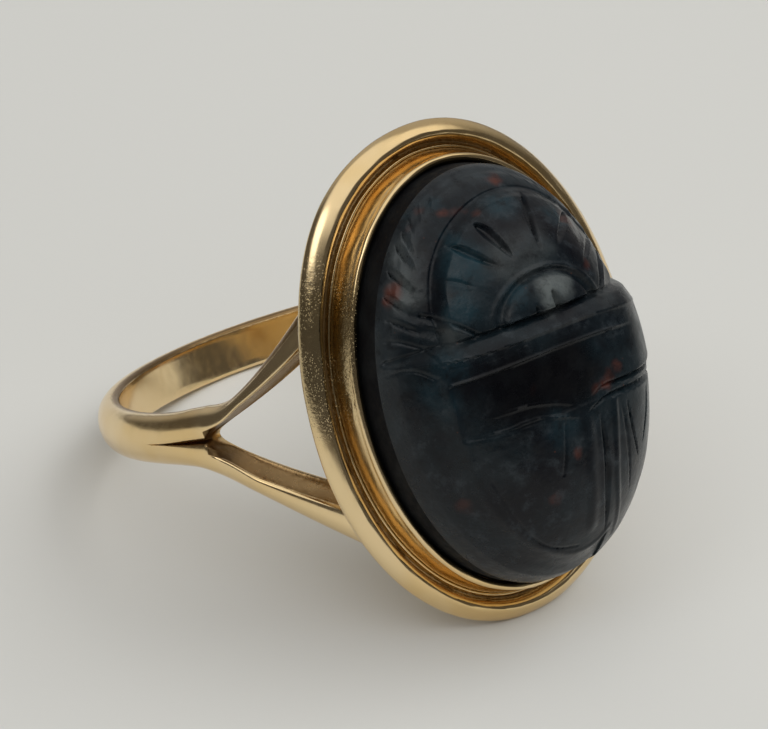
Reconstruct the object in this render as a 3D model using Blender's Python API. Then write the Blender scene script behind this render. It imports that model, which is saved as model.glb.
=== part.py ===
"""A gold finger ring whose oval setting holds a carved bloodstone scarab.

It is modelled around the finger hole: X to the wearer's right, -Y out through the stone, Z along
the finger towards the scarab's head. It is then laid down as a loose ring lies, on the tail end of
the setting and the back of the band, with the floor at Z = 0.
"""

import math

import bmesh
import bpy
from mathutils import Matrix, Vector

# Stone: its base, its plain wall, and the height of the beetle's back above that wall
STONE_LENGTH = 0.01512
STONE_WIDTH = 0.01046
STONE_WALL = 0.00239
STONE_TAPER = 0.00004
BACK_HEIGHT = 0.00320
BACK_FULLNESS = 3.5
CARVING_DEPTH = 0.00042

# Setting: the cup under the stone and the mouldings around it, from the collar outwards
SEAT_GAP = 0.0002
PLATE_THICKNESS = 0.0005
COLLAR_LIP = 0.00021
COLLAR_HEIGHT = 0.00164
COVE_WIDTH = 0.00016
LINE_RADIUS = 0.00010
LINE_HEIGHT = 0.00050
RIM_RADIUS = 0.00041

# Band: its section at the back, and how far the setting's back plate cuts into the finger circle
FINGER_RADIUS = 0.00865
BAND_THICKNESS = 0.00098
BAND_WIDTH = 0.00182
PLATE_INSET = 0.0002
SOLDER_GAP = 0.0002

# Shoulders: angles from the band's back, and how steeply the branches and the gap between them widen
SHOULDER_SLOPE = 0.93
GAP_SLOPE = 0.55
FLUTE_ANGLE = math.radians(97)
CROTCH_ANGLE = math.radians(115.8)
STRAIGHT_ANGLE = math.radians(144)
SPREAD_DELAY = 0.00035
SPREAD_BEND = 0.00045
GAP_TIP = 0.00028
CROTCH_DEPTH = 0.00055
FLUTE_DEPTH = 0.00040
EDGE_HEIGHT = 0.00034
EDGE_ROUND = 0.00012
CREST_PLACE = 0.42
GAP_LIP = 0.00012
PLATE_TO_FINGER = FINGER_RADIUS - PLATE_INSET

# Rest: how much is flat where the ring touches the floor
FLAT_DEPTH = 0.00006

# How finely curves are divided
OVAL_SEGMENTS = 48
RIM_STEPS = 8
EDGE_STEPS = 6
BAND_STEPS = 13
FLUTE_STEPS = 5
BRANCH_STEPS = 12
STONE_COLUMNS = 40
STONE_ROWS = 58


def smooth_step(value):
    """0 below 0, 1 above 1, with level ends."""
    value = min(max(value, 0.0), 1.0)
    return value * value * (3 - 2 * value)


def soft_ramp(value):
    """0 far below 0, value far above it, with a round bend between."""
    return value if value > 30 else math.log1p(math.exp(value))


def ridge(distance, width):
    """1 on a line, falling to 0 at a width from it."""
    return 1 - smooth_step(abs(distance) / width)


def finish_material(name, colour, metallic, roughness):
    material = bpy.data.materials.new(name)
    material.use_nodes = True
    shader = material.node_tree.nodes["Principled BSDF"]
    shader.inputs["Base Color"].default_value = (*colour, 1)
    shader.inputs["Metallic"].default_value = metallic
    shader.inputs["Roughness"].default_value = roughness
    return material


def gold(name):
    return finish_material(name, (0.83, 0.62, 0.33), 1.0, 0.18)


def bloodstone():
    return finish_material("bloodstone", (0.020, 0.032, 0.034), 0.0, 0.24)


def shell(rings, close_across):
    """A surface through rings of points; close_across joins each ring's last point to its first."""
    mesh = bmesh.new()
    rows = [[mesh.verts.new(point) for point in ring] for ring in rings]
    span = len(rings[0]) if close_across else len(rings[0]) - 1
    for here, there in zip(rows, rows[1:]):
        for i in range(span):
            j = (i + 1) % len(here)
            mesh.faces.new((here[i], here[j], there[j], there[i]))
    return mesh, rows


# Setting


def bezel_inset():
    """Width of the setting's mouldings, from its outer edge to the collar's inner edge."""
    return 2 * RIM_RADIUS + 2 * LINE_RADIUS + COVE_WIDTH + COLLAR_LIP


def bezel_profile():
    """Points (inset from the outer edge, height over the back), up the rim and down into the cup."""
    points = []
    rim_sweep = 224
    for step in range(RIM_STEPS + 1):
        turn = math.radians(-90 - rim_sweep * step / RIM_STEPS)
        points.append((RIM_RADIUS * (1 + math.cos(turn)), RIM_RADIUS * (1 + math.sin(turn))))
    line = 2 * RIM_RADIUS + LINE_RADIUS
    points.append((line - LINE_RADIUS, LINE_HEIGHT - 0.3 * LINE_RADIUS))
    for turn in (130, 90, 50):
        reach = math.radians(turn)
        points.append((line + LINE_RADIUS * math.cos(reach), LINE_HEIGHT + LINE_RADIUS * math.sin(reach)))
    cove = line + LINE_RADIUS
    rise = COLLAR_HEIGHT - LINE_HEIGHT
    points.append((cove, LINE_HEIGHT))
    points.append((cove + 0.35 * COVE_WIDTH, LINE_HEIGHT + 0.18 * rise))
    points.append((cove + 0.85 * COVE_WIDTH, LINE_HEIGHT + 0.66 * rise))
    lip = cove + COVE_WIDTH
    points.append((lip + 0.10 * COLLAR_LIP, LINE_HEIGHT + 0.70 * rise))
    points.append((lip + 0.40 * COLLAR_LIP, COLLAR_HEIGHT - 0.25 * COLLAR_LIP))
    points.append((lip + 0.75 * COLLAR_LIP, COLLAR_HEIGHT))
    points.append((lip + COLLAR_LIP, COLLAR_HEIGHT - 0.30 * COLLAR_LIP))
    points.append((lip + COLLAR_LIP, PLATE_THICKNESS))
    return points


def oval(half_length, half_width, depth, segments):
    """Points around an oval that faces along -Y, at a depth in front of the finger's centre."""
    ring = []
    for step in range(segments):
        turn = 2 * math.pi * step / segments
        ring.append(Vector((half_width * math.cos(turn), -depth, half_length * math.sin(turn))))
    return ring


def make_bezel():
    half_length = STONE_LENGTH / 2 + SEAT_GAP + bezel_inset()
    half_width = STONE_WIDTH / 2 + SEAT_GAP + bezel_inset()
    rings = [
        oval(half_length - inset, half_width - inset, PLATE_TO_FINGER + height, OVAL_SEGMENTS)
        for inset, height in bezel_profile()
    ]
    mesh, rows = shell(rings, True)
    mesh.faces.new(rows[0])
    mesh.faces.new(rows[-1])
    return mesh


# Band and shoulders


def along(arc, outward, height, side):
    """The point at an arc length from the band's back, outward from the finger and up along it."""
    bend = STRAIGHT_ANGLE * FINGER_RADIUS
    angle = min(arc, bend) / FINGER_RADIUS
    run = max(arc - bend, 0)
    across = (FINGER_RADIUS + outward) * math.sin(angle) + run * math.cos(angle)
    back = (FINGER_RADIUS + outward) * math.cos(angle) - run * math.sin(angle)
    return Vector((side * across, back, height))


def shoulder_half_width(arc):
    """Half the width over both branches: the band's own, then spreading at a steady rate."""
    past_bend = (arc - CROTCH_ANGLE * FINGER_RADIUS - SPREAD_DELAY) / SPREAD_BEND
    return BAND_WIDTH / 2 + SHOULDER_SLOPE * SPREAD_BEND * soft_ramp(past_bend)


def gap_half_width(arc):
    """Half the open gap between the branches at the finger side, round at its tip."""
    run = max(arc - CROTCH_ANGLE * FINGER_RADIUS, 0)
    return math.sqrt((run * GAP_SLOPE + GAP_TIP) ** 2 - GAP_TIP**2)


def shoulder_section(arc):
    """One half of the band's section as (outward, up) points, from the finger side to the flute."""
    flute_start = FLUTE_ANGLE * FINGER_RADIUS
    crotch = CROTCH_ANGLE * FINGER_RADIUS
    outer = shoulder_half_width(arc)
    inner = gap_half_width(arc)
    fluted = smooth_step((arc - flute_start) / (crotch - flute_start))
    crest = inner + CREST_PLACE * fluted * (outer - inner)
    opened = smooth_step((arc - crotch) / CROTCH_DEPTH)
    floor = BAND_THICKNESS - FLUTE_DEPTH * fluted
    floor += (GAP_LIP - floor) * opened
    points = [(0, inner), (0, inner + 0.5 * (outer - inner)), (0.4 * EDGE_ROUND, outer - EDGE_ROUND)]
    for step in range(EDGE_STEPS + 1):
        turn = math.radians(90 * step / EDGE_STEPS)
        lift = EDGE_HEIGHT + (BAND_THICKNESS - EDGE_HEIGHT) * math.sin(turn)
        points.append((lift, crest + (outer - crest) * math.cos(turn)))
    points.append((BAND_THICKNESS + 0.45 * (floor - BAND_THICKNESS), crest + 0.55 * (inner - crest)))
    points.append((floor, inner))
    return points


def shoulder_arcs():
    """Arc lengths of the sections from the back of the band to beyond the setting's back."""
    crotch = CROTCH_ANGLE * FINGER_RADIUS
    flute = FLUTE_ANGLE * FINGER_RADIUS
    drop = PLATE_TO_FINGER + FINGER_RADIUS * math.cos(STRAIGHT_ANGLE)
    end = STRAIGHT_ANGLE * FINGER_RADIUS + drop / math.sin(STRAIGHT_ANGLE)
    plain = [flute * step / BAND_STEPS for step in range(BAND_STEPS)]
    fluted = [flute + (crotch - flute) * step / FLUTE_STEPS for step in range(FLUTE_STEPS + 1)]
    open_part = [
        crotch + (end - crotch) * (step / BRANCH_STEPS) ** 1.5 for step in range(1, BRANCH_STEPS + 1)
    ]
    return plain + fluted, open_part


def make_shank():
    solid_part, open_part = shoulder_arcs()
    mesh = bmesh.new()
    for side in (-1, 1):
        for half in (-1, 1):
            rows = []
            for arc in solid_part + open_part:
                section = shoulder_section(arc)
                rows.append(
                    [mesh.verts.new(along(arc, outward, half * up, side)) for outward, up in section]
                )
            for station, (here, there) in enumerate(zip(rows, rows[1:])):
                quads = [(here[i], here[i + 1], there[i + 1], there[i]) for i in range(len(here) - 1)]
                if station >= len(solid_part) - 1:
                    quads.append((here[-1], here[0], there[0], there[-1]))
                for quad in quads:
                    mesh.faces.new(quad)
            mesh.faces.new(rows[-1])
    bmesh.ops.remove_doubles(mesh, verts=mesh.verts, dist=1e-7)
    bmesh.ops.dissolve_degenerate(mesh, edges=mesh.edges, dist=1e-7)
    trim(mesh, Vector((0, SOLDER_GAP - PLATE_TO_FINGER, 0)), Vector((0, -1, 0)))
    return mesh


def trim(mesh, point, outward):
    """Cuts off what lies beyond a plane and closes the cut with flat faces."""
    everything = mesh.verts[:] + mesh.edges[:] + mesh.faces[:]
    cut = bmesh.ops.bisect_plane(
        mesh, geom=everything, dist=1e-7, plane_co=point, plane_no=outward, clear_outer=True
    )
    edges = [part for part in cut["geom_cut"] if isinstance(part, bmesh.types.BMEdge)]
    bmesh.ops.holes_fill(mesh, edges=edges, sides=0)


# Scarab


def near_stroke(u, v, start, end, width):
    """How deep a tapering stroke between two points is at a place, from 0 to 1."""
    run = (end[0] - start[0], end[1] - start[1])
    length = run[0] ** 2 + run[1] ** 2
    share = ((u - start[0]) * run[0] + (v - start[1]) * run[1]) / length
    share = min(max(share, 0.0), 1.0)
    away = math.hypot(u - start[0] - share * run[0], v - start[1] - share * run[1])
    return ridge(away, width * (1 - 0.5 * share)) * (1 - 0.35 * share)


# The carving is laid out on a stone one unit from centre to head and this much to each side
HALF_BREADTH = 0.70
CARVING_MARGIN = 0.07
NECK = 0.272
FAN_CENTRE = (0.0, 0.40)
FAN_BREADTH = 0.49
FAN_REACH = 0.61
HEAD_BREADTH = 0.27
HEAD_REACH = 0.20
WING_BREADTH = 0.49
WING_TAIL = -0.85


def fan_carving(u, v):
    """The toothed clypeus around the head: a raised half oval with grooves towards its centre."""
    around = math.hypot(u / FAN_BREADTH, (v - NECK) / FAN_REACH)
    height = 0.75 * (1 - smooth_step((around - 0.93) / 0.14)) - 1.15
    for degrees in (22, 42, 69, 94, 118, 138, 158):
        turn = math.radians(degrees)
        start = (FAN_CENTRE[0] + 0.58 * math.cos(turn), FAN_CENTRE[1] + 0.50 * math.sin(turn))
        end = (FAN_CENTRE[0] + 0.25 * math.cos(turn), FAN_CENTRE[1] + 0.21 * math.sin(turn))
        height -= 0.60 * near_stroke(u, v, start, end, 0.055) * (around < 1.03)
    head = math.hypot(u / HEAD_BREADTH, (v - NECK) / HEAD_REACH)
    height += 0.60 * (1 - smooth_step((head - 0.80) / 0.25))
    height -= 0.50 * ridge(head - 1.10, 0.20)
    return height


def leg_carving(u, v):
    """Forelegs folded beside the clypeus, hatched like feathers."""
    height = 0.0
    for step in range(7):
        turn = math.radians(66 - 7.5 * step)
        start = (0.66 * math.cos(turn) + 0.01, 0.97 * math.sin(turn))
        end = (start[0] - 0.02 - 0.006 * step, start[1] - 0.17)
        height -= 0.75 * near_stroke(abs(u), v, start, end, 0.042)
    return height


def thorax_carving(u, v):
    """The thorax between two cross grooves, with fine lines along its front and its rear border."""
    height = -0.30 * ridge(v - 0.205, 0.030)
    height -= 0.30 * smooth_step((v - 0.115) / 0.03)
    sag = -0.105 - 0.065 * ridge(u, 0.40)
    height -= 0.60 * ridge(v - sag, 0.034)
    height -= 0.45 * ridge(v - sag + 0.070, 0.032)
    return height


def wing_carving(u, v):
    """The wing cases: a raised shield with a double edge and a line down its middle."""
    shield = math.hypot(u / WING_BREADTH, min(v + 0.15, 0) / (WING_TAIL + 0.15))
    height = 0.65 * (1 - smooth_step((shield - 0.92) / 0.13)) - 0.40
    if v < -0.16:
        height -= 0.40 * ridge(shield - 0.82, 0.075)
        height -= 0.60 * ridge(u, 0.036)
    for step in range(4):
        start = (0.50, -0.22 - 0.13 * step)
        end = (0.62, -0.34 - 0.13 * step)
        height -= 0.55 * near_stroke(abs(u), v, start, end, 0.042)
    return height


def carving(u, v):
    """Relief at a place on the beetle's back, in shares of the carving depth."""
    front = smooth_step((v - NECK + 0.015) / 0.03)
    height = front * (fan_carving(u, v) + leg_carving(u, v))
    height += (1 - front) * (thorax_carving(u, v) if v > -0.21 else 0)
    height += (1 - front) * wing_carving(u, v)
    return height - 1.0 * ridge(v - NECK, 0.042)


def make_scarab():
    """The beetle's back over an even grid squeezed into the stone's oval, then its plain wall."""
    base = PLATE_TO_FINGER + PLATE_THICKNESS + SEAT_GAP
    half_length = STONE_LENGTH / 2
    half_width = STONE_WIDTH / 2
    rings = []
    for row in range(STONE_ROWS + 1):
        up = 2 * row / STONE_ROWS - 1
        ring = []
        for column in range(STONE_COLUMNS + 1):
            right = 2 * column / STONE_COLUMNS - 1
            x = right * math.sqrt(1 - up * up / 2)
            z = up * math.sqrt(1 - right * right / 2)
            out = min(math.hypot(x, z), 1.0)
            dome = 1 - out**BACK_FULLNESS
            relief = carving(x * HALF_BREADTH, z) * smooth_step((1 - out) / CARVING_MARGIN)
            lift = STONE_WALL + BACK_HEIGHT * dome + CARVING_DEPTH * relief
            across = x * (half_width - STONE_TAPER)
            up_stone = z * (half_length - STONE_TAPER)
            ring.append(Vector((across, -base - lift, up_stone)))
        rings.append(ring)
    mesh, rows = shell(rings, False)
    rim = rows[0][:] + [row[-1] for row in rows[1:]]
    rim += rows[-1][-2::-1] + [row[0] for row in rows[-2:0:-1]]
    foot = []
    for vert in rim:
        x = vert.co.x * half_width / (half_width - STONE_TAPER)
        z = vert.co.z * half_length / (half_length - STONE_TAPER)
        foot.append(mesh.verts.new((x, -base, z)))
    for i in range(len(rim)):
        j = (i + 1) % len(rim)
        mesh.faces.new((rim[i], rim[j], foot[j], foot[i]))
    mesh.faces.new(foot)
    bmesh.ops.triangulate(mesh, faces=mesh.faces, quad_method="SHORT_EDGE")
    return mesh


# Laying the ring down


def lowest(mesh, turn):
    return min((turn @ vert.co).z for vert in mesh.verts)


def resting_turn(bezel, shank):
    """The lean at which the setting's tail end and the band's back touch the floor together."""
    low, high = 0.0, math.radians(60)
    for _ in range(50):
        lean = (low + high) / 2
        turn = Matrix.Rotation(-lean, 3, "X")
        if lowest(bezel, turn) < lowest(shank, turn):
            low = lean
        else:
            high = lean
    return turn


def lay_down(meshes):
    """Turns the pieces to rest, flattens what touches the floor and centres them over the origin."""
    turn = resting_turn(meshes["bezel"], meshes["shank"])
    for mesh in meshes.values():
        bmesh.ops.rotate(mesh, verts=mesh.verts, cent=(0, 0, 0), matrix=turn)
    level = Matrix.Identity(3)
    floor = min(lowest(meshes["bezel"], level), lowest(meshes["shank"], level)) + FLAT_DEPTH
    for name in ("bezel", "shank"):
        trim(meshes[name], Vector((0, 0, floor)), Vector((0, 0, -1)))
    points = [vert.co for mesh in meshes.values() for vert in mesh.verts]
    middle = [
        (min(point[axis] for point in points) + max(point[axis] for point in points)) / 2 for axis in (0, 1)
    ]
    for mesh in meshes.values():
        bmesh.ops.translate(mesh, verts=mesh.verts, vec=(-middle[0], -middle[1], -floor))


def add_object(name, mesh, material, sharp_degrees):
    bmesh.ops.recalc_face_normals(mesh, faces=mesh.faces)
    data = bpy.data.meshes.new(name)
    mesh.to_mesh(data)
    mesh.free()
    data.materials.append(material)
    data.shade_smooth()
    data.set_sharp_from_angle(angle=math.radians(sharp_degrees))
    bpy.context.collection.objects.link(bpy.data.objects.new(name, data))


def main():
    for old in list(bpy.data.objects):
        bpy.data.objects.remove(old)
    meshes = {"shank": make_shank(), "bezel": make_bezel(), "scarab": make_scarab()}
    lay_down(meshes)
    add_object("shank", meshes["shank"], gold("shank_gold"), 50)
    add_object("bezel", meshes["bezel"], gold("bezel_gold"), 50)
    add_object("scarab", meshes["scarab"], bloodstone(), 60)


main()
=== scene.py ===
"""The looks of a gold scarab ring: worn gold, a stepped setting and a carved bloodstone beetle.

Shapes are made in millimetres around the finger hole: X to the wearer's right, -Y out through the
stone, Z along the finger towards the beetle's head. Placement.to_part() lays them down where the
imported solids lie, in metres.
"""

import math

import bmesh
import bpy
import numpy as np
from mathutils import Matrix, Vector


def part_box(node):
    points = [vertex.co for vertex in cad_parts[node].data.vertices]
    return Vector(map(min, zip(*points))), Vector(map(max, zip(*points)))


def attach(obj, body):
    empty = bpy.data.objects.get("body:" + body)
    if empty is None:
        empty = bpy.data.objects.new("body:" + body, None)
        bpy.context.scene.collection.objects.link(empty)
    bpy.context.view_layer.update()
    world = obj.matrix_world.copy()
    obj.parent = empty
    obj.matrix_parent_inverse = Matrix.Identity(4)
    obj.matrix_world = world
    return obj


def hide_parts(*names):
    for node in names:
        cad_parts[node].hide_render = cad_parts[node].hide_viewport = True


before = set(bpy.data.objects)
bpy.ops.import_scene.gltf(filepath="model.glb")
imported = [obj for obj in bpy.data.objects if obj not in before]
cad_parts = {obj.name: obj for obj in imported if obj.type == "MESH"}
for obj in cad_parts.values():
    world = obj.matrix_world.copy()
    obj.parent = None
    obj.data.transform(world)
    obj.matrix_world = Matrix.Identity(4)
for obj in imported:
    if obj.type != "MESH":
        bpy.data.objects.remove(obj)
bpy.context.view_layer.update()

MM = 0.001
ROOT = "root"

# How far the loose ring tips back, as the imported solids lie
LEAN = math.radians(24.7534)

# Band: its section at the back, in millimetres
FINGER_RADIUS = 8.65
BAND_THICKNESS = 0.98
BAND_WIDTH = 1.82
EDGE_HEIGHT = 0.34
EDGE_ROUND = 0.12

# Arc lengths from the band's back to where the flute starts, the branches part and the bend ends
STRAIGHT_ANGLE = math.radians(144)
FLUTE_START = math.radians(97) * FINGER_RADIUS
CROTCH = math.radians(115.8) * FINGER_RADIUS
BEND_END = STRAIGHT_ANGLE * FINGER_RADIUS

# Branches: how much they and the gap widen for each millimetre of run, and how softly that starts
SHOULDER_SLOPE = 0.93
GAP_SLOPE = 0.55
SPREAD_DELAY = 0.35
SPREAD_BEND = 0.80
GAP_TIP = 0.28

# The upper branch's bow into the gap over its run, and how far both branches shift down
BRANCH_BOW = 0.32
BRANCH_RUN = 6.70
BRANCH_SHIFT = 0.36
SHIFT_LEAD = 1.0
SHIFT_RUN = 2.2

# Flute: its depth, the crest beside it, the slit before the branches part and the hollow after
FLUTE_DEPTH = 0.40
FLUTE_STEPS = 16
CREST_PLACE = 0.42
CREST_EASE = 1.6
SLIT_HALF_WIDTH = 0.08
SLIT_SINK = 0.10
CROTCH_DEPTH = 0.55
GAP_LIP = 0.12

# Solder where a branch meets the setting: how far it reaches and how much it adds
FILLET_RUN = 0.75
FILLET_FLARE = 0.30

# How many sections the band has before the flute, along it and along a branch
PLAIN_SECTIONS = 110
FLUTED_SECTIONS = 28
BRANCH_SECTIONS = 84
BRANCH_CROWDING = 1.2

# Places in a section, counted from the finger side or back from the flute's middle, that are darkened by dirt
# and painted shade
HOLE_EDGE_PLACES = range(4, 7)
SKIN_PLACES = range(9, 13)
SLIT_PLACES = 5
HOLLOW_PLACES = 13

# Setting, from its outer edge to the stone
PLATE_TO_FINGER = 8.45
PLATE_THICKNESS = 0.50
SEAT_GAP = 0.20
COLLAR_LIP = 0.21
COLLAR_HEIGHT = 1.64
COVE_WIDTH = 0.16
LINE_RADIUS = 0.10
LINE_HEIGHT = 0.50
RIM_RADIUS = 0.41
LIP_OVERHANG = 0.15
LIP_BEAD = 0.14

# Rim: its round waist, its bevel's swelling and the way that faces, and its crest
RIM_WAIST = 0.28
RIM_SWELL = 0.04
BEVEL_NORMAL = (-0.62, 0.78)
RIM_CREST = 0.50
CREST_RADIUS = 0.20

# From the rim's crest down through the channel: how far past its edge, height from the line, and dirt with
# painted shade, darkest at the channel's bottom
CHANNEL_SECTION = (
    (-0.12, 0.18, 0.0),
    (-0.075, 0.09, 0.1),
    (-0.04, 0.0, 0.2),
    (-0.015, -0.07, 0.35),
    (0.04, -0.09, 0.6),
    (0.09, -0.05, 0.3),
    (0.13, 0.02, 0.2),
)

# The fine line and its foot, the foot's third number its dirt with painted shade, and the collar's slanting
# wall up to its lip
LINE_PLACE = (0.175, 0.06)
LINE_FOOT = (0.225, 0.07, 0.4)
WALL_FOOT = (0.235, 0.12)
WALL_TOP = (0.055, 0.16)
WALL_STEPS = 8
WALL_HOLLOW = 1.3

# The rim's fuller corner at the upper left: how much, where around the oval and how far it reaches
RIM_CORNER = 0.22
RIM_CORNER_TURN = math.radians(131)
RIM_CORNER_REACH = math.radians(21)

# Hand filing: how uneven it leaves the setting, and its waves as count, phase and size
HAND_UNEVENNESS = 0.014
HAND_WAVES = ((3, 0.4, 0.5), (5, 1.9, 0.3), (8, 4.4, 0.25), (13, 2.2, 0.2), (21, 0.9, 0.15), (37, 3.3, 0.10))

# Where the setting's rim is most worn and pitted, and painted darker there as a dark reflection
WORN_AND_DARK_REFLECTION_PLACE = (-6.4, -9.2, 2.9)

# Stone
STONE_LENGTH = 15.12
STONE_WIDTH = 10.46
STONE_WALL = 2.39
STONE_TAPER = 0.04
BACK_HEIGHT = 3.20
BACK_FULLNESS = 3.5

# How finely the ovals and the stone are divided, and how much the stone's points crowd to its rim
OVAL_SEGMENTS = 420
STONE_COLUMNS = 250
STONE_ROWS = 360
RIM_CROWDING = 0.35
ROUND_SIDES = 96

# Camera: the photo's viewing angle, seen from the ring
CAMERA_AZIMUTH = -35.285
CAMERA_ELEVATION = 32.642
CAMERA_ROLL = -0.087
CAMERA_DISTANCE = 0.1104
CAMERA_LENS = 143.76
CAMERA_TARGET = (-0.00171, -0.00195, 0.00761)


def smooth_step(value):
    """0 below 0, 1 above 1, with level ends; numbers and arrays alike."""
    value = np.clip(value, 0.0, 1.0)
    return value * value * (3 - 2 * value)


def ridge(distance, width):
    """1 on a line, falling to 0 at a width from it."""
    return 1 - smooth_step(np.abs(distance) / width)


def soft_ramp(value):
    """0 far below 0, value far above it, with a round bend between."""
    return value if value > 30 else math.log1p(math.exp(value))


class Placement:
    """Lays ring-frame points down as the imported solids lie."""

    def __init__(self):
        self.turn = Matrix.Rotation(-LEAN, 3, "X")
        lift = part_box("bezel")[1].z
        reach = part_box("shank")[1].y
        outer_length = STONE_LENGTH / 2 + SEAT_GAP + bezel_inset()
        rim = Vector((0, -(PLATE_TO_FINGER + RIM_RADIUS) * MM, (outer_length - RIM_RADIUS) * MM))
        top = (self.turn @ rim).z + RIM_RADIUS * MM
        back = self.back_reach()
        self.shift = Vector((0, reach - back, lift - top))

    def back_reach(self):
        """How far the back of the band reaches once it is laid down."""
        finest = 40
        upper = [(FINGER_RADIUS + out, up) for out, up in shoulder_section(0.0, 1, finest)]
        both = upper + [(out, -up) for out, up in upper]
        return max((self.turn @ Vector((0, out * MM, up * MM))).y for out, up in both)

    def to_part(self, point):
        """A ring-frame point in millimetres as a part-frame point in metres, never under the floor."""
        placed = self.turn @ (Vector(point) * MM) + self.shift
        placed.z = max(placed.z, 0.0)
        return placed


def make_piece(name, points, faces, material, sharp_degrees):
    """A smooth-shaded mesh piece that rides on the ring's one body."""
    data = bpy.data.meshes.new(name)
    data.from_pydata([placement.to_part(point) for point in points], [], faces)
    data.materials.append(material)
    data.shade_smooth()
    data.set_sharp_from_angle(angle=math.radians(sharp_degrees))
    data.validate()
    piece = bpy.data.objects.new(name, data)
    bpy.context.collection.objects.link(piece)
    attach(piece, ROOT)
    return piece


def add_values(piece, name, values):
    """Stores one number for each point, for a material to read."""
    attribute = piece.data.attributes.new(name, "FLOAT", "POINT")
    attribute.data.foreach_set("value", np.asarray(values, np.float32))


# Setting


def bezel_inset():
    """Width of the setting's mouldings, from its outer edge to the collar's inner edge."""
    return 2 * RIM_RADIUS + 2 * LINE_RADIUS + COVE_WIDTH + COLLAR_LIP


def arc_points(centre, radius, start, end, steps):
    """Points on an arc between two angles in degrees."""
    turns = [math.radians(start + (end - start) * step / steps) for step in range(steps + 1)]
    return [(centre[0] + radius * math.cos(turn), centre[1] + radius * math.sin(turn)) for turn in turns]


def bezel_profile():
    """Points (inset, height over the back, dirt with painted shade) from under the rim to inside the cup."""
    channel = 2 * RIM_RADIUS
    lip = bezel_inset() - COLLAR_LIP
    points = [(x, y, 0.0) for x, y in arc_points((RIM_WAIST, RIM_WAIST), RIM_WAIST, -90, -200, 12)]
    foot = points[-1]
    top = arc_points((RIM_CREST, channel - CREST_RADIUS), CREST_RADIUS, 125, 38, 14)
    for share in (0.2, 0.4, 0.6, 0.8):
        swell = RIM_SWELL * 4 * share * (1 - share)
        x = foot[0] + (top[0][0] - foot[0]) * share + BEVEL_NORMAL[0] * swell
        y = foot[1] + (top[0][1] - foot[1]) * share + BEVEL_NORMAL[1] * swell
        points.append((x, y, 0.0))
    points += [(x, y, 0.0) for x, y in top]
    points += [(channel + past, LINE_HEIGHT + level, soil_and_painted_shade) for past, level, soil_and_painted_shade in CHANNEL_SECTION]
    line = (channel + LINE_PLACE[0], LINE_HEIGHT + LINE_PLACE[1])
    points += [(x, y, 0.1) for x, y in arc_points(line, LINE_RADIUS / 2, 190, 45, 6)]
    points.append((channel + LINE_FOOT[0], LINE_HEIGHT + LINE_FOOT[1], LINE_FOOT[2]))
    wall_foot = (channel + WALL_FOOT[0], LINE_HEIGHT + WALL_FOOT[1])
    wall_top = (lip + WALL_TOP[0], COLLAR_HEIGHT - WALL_TOP[1])
    # Dirt and painted shade darken the wall a little towards its foot
    for step in range(WALL_STEPS + 1):
        share = step / WALL_STEPS
        x = wall_foot[0] + (wall_top[0] - wall_foot[0]) * share**WALL_HOLLOW
        y = wall_foot[1] + (wall_top[1] - wall_foot[1]) * share
        points.append((x, y, 0.12 * (1 - share)))
    bead = (lip + WALL_TOP[0] + LIP_BEAD, COLLAR_HEIGHT - LIP_BEAD)
    points += [(x, y, 0.0) for x, y in arc_points(bead, LIP_BEAD, 165, 20, 12)]
    # Painted shade inside the cup under the lip's overhang, darkest deepest down
    for drop, soil_and_painted_shade in ((0.20, 0.3), (0.50, 1.0)):
        points.append((lip + COLLAR_LIP + LIP_OVERHANG, COLLAR_HEIGHT - drop, soil_and_painted_shade))
    return points


def hand_wobble(turn):
    """Slow unevenness around an oval, as hand filing leaves it."""
    return HAND_UNEVENNESS * sum(size * math.sin(count * turn + phase) for count, phase, size in HAND_WAVES)


def make_bezel():
    """The rim, groove, fine line, cove and lip swept around the oval, and the plate behind."""
    half_length = STONE_LENGTH / 2 + SEAT_GAP + bezel_inset()
    half_width = STONE_WIDTH / 2 + SEAT_GAP + bezel_inset()
    profile = bezel_profile()
    points, dirt_and_painted_shade = [], []
    for inset, height, soil_and_painted_shade in profile:
        for step in range(OVAL_SEGMENTS):
            turn = 2 * math.pi * step / OVAL_SEGMENTS
            waver = hand_wobble(turn + 0.9 * inset)
            waver_up = hand_wobble(turn + 2.1 + 1.3 * inset)
            corner = math.exp(-((turn - RIM_CORNER_TURN) / RIM_CORNER_REACH) ** 2)
            fuller = RIM_CORNER * corner * max(1 - inset / (3 * RIM_RADIUS), 0.0)
            across = (half_width - inset - abs(waver) + fuller) * math.cos(turn)
            along = (half_length - inset - abs(waver) + fuller) * math.sin(turn)
            level = PLATE_TO_FINGER + height - abs(waver_up) * (height > PLATE_THICKNESS)
            points.append((across, -level, along))
            dirt_and_painted_shade.append(soil_and_painted_shade)
    faces = []
    for row in range(len(profile) - 1):
        for step in range(OVAL_SEGMENTS):
            after = (step + 1) % OVAL_SEGMENTS
            here, there = row * OVAL_SEGMENTS, (row + 1) * OVAL_SEGMENTS
            faces.append((here + step, there + step, there + after, here + after))
    faces.append(tuple(range(OVAL_SEGMENTS)))
    last = (len(profile) - 1) * OVAL_SEGMENTS
    faces.append(tuple(last + OVAL_SEGMENTS - 1 - step for step in range(OVAL_SEGMENTS)))
    piece = make_piece("setting", points, faces, gold_material("setting_gold", 1.0), 60)
    add_values(piece, "dirt_and_painted_shade", dirt_and_painted_shade)
    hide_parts("bezel")
    return piece


# Band and shoulders


def along_band(arc, outward, height, side):
    """The point at an arc length from the band's back, outward from the finger and up along it."""
    angle = min(arc, BEND_END) / FINGER_RADIUS
    run = max(arc - BEND_END, 0)
    across = (FINGER_RADIUS + outward) * math.sin(angle) + run * math.cos(angle)
    back = (FINGER_RADIUS + outward) * math.cos(angle) - run * math.sin(angle)
    return Vector((side * across, back, height))


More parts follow.
